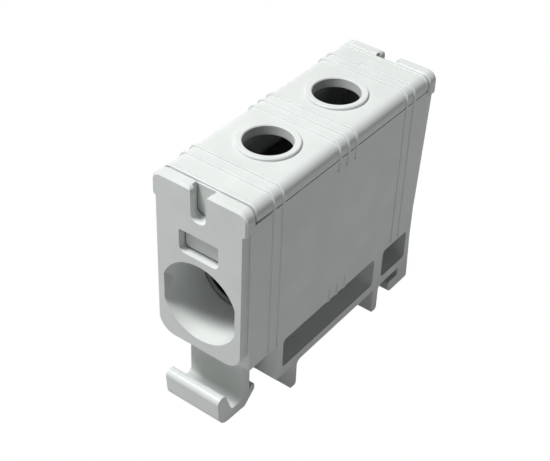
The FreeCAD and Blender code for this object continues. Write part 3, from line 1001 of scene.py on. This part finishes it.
@dataclass(frozen=True)
class SoftLight:
    """One square studio light, aimed at the middle of the object.

    Attributes:
        name: Name of the light.
        azimuth: Direction it shines from, as for a camera, in degrees.
        elevation: Height above the horizon, in degrees.
        distance: Distance from the object, in metres.
        size: Side of its square, in metres.
        power: Watts.
    """

    name: str
    azimuth: float
    elevation: float
    distance: float
    size: float
    power: float

    def build(self, target: Vector) -> None:
        """Add the light.

        Args:
            target: Point that it is aimed at.
        """
        data = bpy.data.lights.new(self.name, "AREA")
        data.energy = self.power
        data.size = self.size
        light = bpy.data.objects.new(self.name, data)
        back = away(self.azimuth, self.elevation)
        light.location = target + back * self.distance
        light.rotation_euler = back.to_track_quat("Z", "Y").to_euler()
        bpy.context.scene.collection.objects.link(light)


@dataclass(frozen=True)
class PhotoCamera:
    """Camera at the photograph's viewpoint, with its slight roll.

    Attributes:
        azimuth: Direction it looks from, in degrees.
        elevation: Its height above the horizon, in degrees.
        roll: Its turn about its own axis, in degrees.
        distance: Distance from its target, in metres.
        target: Point in the middle of its picture, in metres.
        focal_px: Focal length in pixels of the photograph.
        image_width_px: Width of the photograph.
        sensor_mm: Width of the sensor.
        clip_near: Nearest distance that it sees, in metres.
        clip_far: Farthest distance that it sees.
    """

    azimuth: float = -54.281
    elevation: float = 38.482
    roll: float = 2.401
    distance: float = 0.175847
    target: tuple[float, float, float] = (-0.006156, 0.0, 0.018435)
    focal_px: float = 1225.889
    image_width_px: float = 550.0
    sensor_mm: float = 36.0
    clip_near: float = 0.005
    clip_far: float = 20.0

    def build(self) -> None:
        """Add the camera and look through it."""
        data = bpy.data.cameras.new("photo_camera")
        data.sensor_width = self.sensor_mm
        data.lens = self.focal_px * self.sensor_mm / self.image_width_px
        data.clip_start = self.clip_near
        data.clip_end = self.clip_far
        camera = bpy.data.objects.new("photo_camera", data)
        back = away(self.azimuth, self.elevation)
        right = Vector((0.0, 0.0, 1.0)).cross(back).normalized()
        up = back.cross(right)
        turn = math.radians(self.roll)
        rolled_right = right * math.cos(turn) + up * math.sin(turn)
        rolled_up = up * math.cos(turn) - right * math.sin(turn)
        place = Matrix((rolled_right, rolled_up, back)).transposed().to_4x4()
        place.translation = Vector(self.target) + back * self.distance
        camera.matrix_world = place
        bpy.context.scene.collection.objects.link(camera)
        bpy.context.scene.camera = camera


@dataclass(frozen=True)
class Studio:
    """Floor, surroundings, lights and camera.

    Attributes:
        lights: The soft lights.
        camera: The camera.
        ambient: Brightness of the plain surroundings.
        floor_m: Side of the floor, in metres.
        floor_grey: Brightness of the floor's paper where it isn't seen directly.
        floor_roughness: Roughness of that paper.
    """

    lights: tuple[SoftLight, ...]
    camera: PhotoCamera = PhotoCamera()
    ambient: float = 0.12
    floor_m: float = 3.0
    floor_grey: float = 0.48
    floor_roughness: float = 0.9

    def build(self) -> None:
        """Build the whole studio."""
        low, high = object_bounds()
        middle = (low + high) / 2
        self._floor(low.z)
        self._world()
        for light in self.lights:
            light.build(middle)
        self.camera.build()
        bpy.context.scene.view_settings.view_transform = "Standard"

    def _floor(self, height: float) -> None:
        """Add a plain floor that reads as white paper to the camera.

        Args:
            height: Height of the floor, in metres.
        """
        shape = bmesh.new()
        bmesh.ops.create_grid(shape, x_segments=1, y_segments=1, size=self.floor_m / 2)
        bmesh.ops.translate(shape, verts=shape.verts, vec=(0.0, 0.0, height))
        mesh = bpy.data.meshes.new("studio_floor")
        shape.to_mesh(mesh)
        shape.free()
        floor = bpy.data.objects.new("studio_floor", mesh)
        bpy.context.scene.collection.objects.link(floor)
        paper = bpy.data.materials.new("studio_paper")
        paper.use_nodes = True
        tree = paper.node_tree
        shader = tree.nodes["Principled BSDF"]
        shader.inputs["Base Color"].default_value = shaded(WHITE[:3], self.floor_grey)
        shader.inputs["Roughness"].default_value = self.floor_roughness
        glow = tree.nodes.new("ShaderNodeEmission")
        glow.inputs["Color"].default_value = WHITE
        self._whiten(tree, shader.outputs["BSDF"], glow.outputs["Emission"],
                     tree.nodes["Material Output"])
        floor.data.materials.append(paper)
        floor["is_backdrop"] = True

    def _world(self) -> None:
        """Plain surroundings: even soft light, and white where the camera sees past the floor."""
        world = bpy.data.worlds.new("studio_surroundings")
        bpy.context.scene.world = world
        world.use_nodes = True
        tree = world.node_tree
        tree.nodes.clear()
        skies = []
        for strength in (self.ambient, 1.0):
            sky = tree.nodes.new("ShaderNodeBackground")
            sky.inputs["Color"].default_value = WHITE
            sky.inputs["Strength"].default_value = strength
            skies.append(sky.outputs["Background"])
        self._whiten(tree, *skies, tree.nodes.new("ShaderNodeOutputWorld"))

    @staticmethod
    def _whiten(tree: bpy.types.NodeTree, lit: bpy.types.NodeSocket,
                white: bpy.types.NodeSocket, output: bpy.types.Node) -> None:
        """Show plain white to rays that see a surface straight or in a reflection.

        Args:
            tree: The nodes of the floor or of the surroundings.
            lit: Shader that all other rays meet.
            white: Shader that these rays meet.
            output: Node that takes the result.
        """
        path = tree.nodes.new("ShaderNodeLightPath")
        mask = path.outputs["Is Camera Ray"]
        for ray in ("Is Glossy Ray", "Is Transmission Ray"):
            joined = tree.nodes.new("ShaderNodeMath")
            joined.operation = "MAXIMUM"
            tree.links.new(mask, joined.inputs[0])
            tree.links.new(path.outputs[ray], joined.inputs[1])
            mask = joined.outputs[0]
        mix = tree.nodes.new("ShaderNodeMixShader")
        tree.links.new(mask, mix.inputs["Fac"])
        tree.links.new(lit, mix.inputs[1])
        tree.links.new(white, mix.inputs[2])
        tree.links.new(mix.outputs["Shader"], output.inputs["Surface"])


def main() -> None:
    """Build every piece in order, report it, and set up the studio."""
    logging.basicConfig(level=logging.INFO)
    plastic = MouldedPlastic("grey_plastic", (0.655, 0.685, 0.668))
    # The block's colour is darkened to near black as painted shade, standing for the dark bore in
    # which it is seen; tinned metal is far lighter.
    block = PlatedMetal("tinned_block_painted_dark", (0.06, 0.061, 0.062), roughness=0.42,
                        lines=(1.6, 0.05, 0.05), painted_glint=2.6)
    screw = PlatedMetal("zinc_screw", (0.6, 0.6, 0.58), roughness=0.35, lines=(0.3, 0.3, 0.3))
    for piece in Mouldings(plastic).build() + MetalParts(block, screw).build():
        LOG.info("%s: %d faces", piece.name, len(piece.data.polygons))
    key = SoftLight("key_light", azimuth=-134, elevation=66.8, distance=0.5, size=0.12, power=2.78)
    fill = SoftLight("fill_light", azimuth=-92, elevation=12, distance=0.5, size=0.3, power=0.2)
    Studio(lights=(key, fill)).build()


if __name__ == "__main__":
    main()
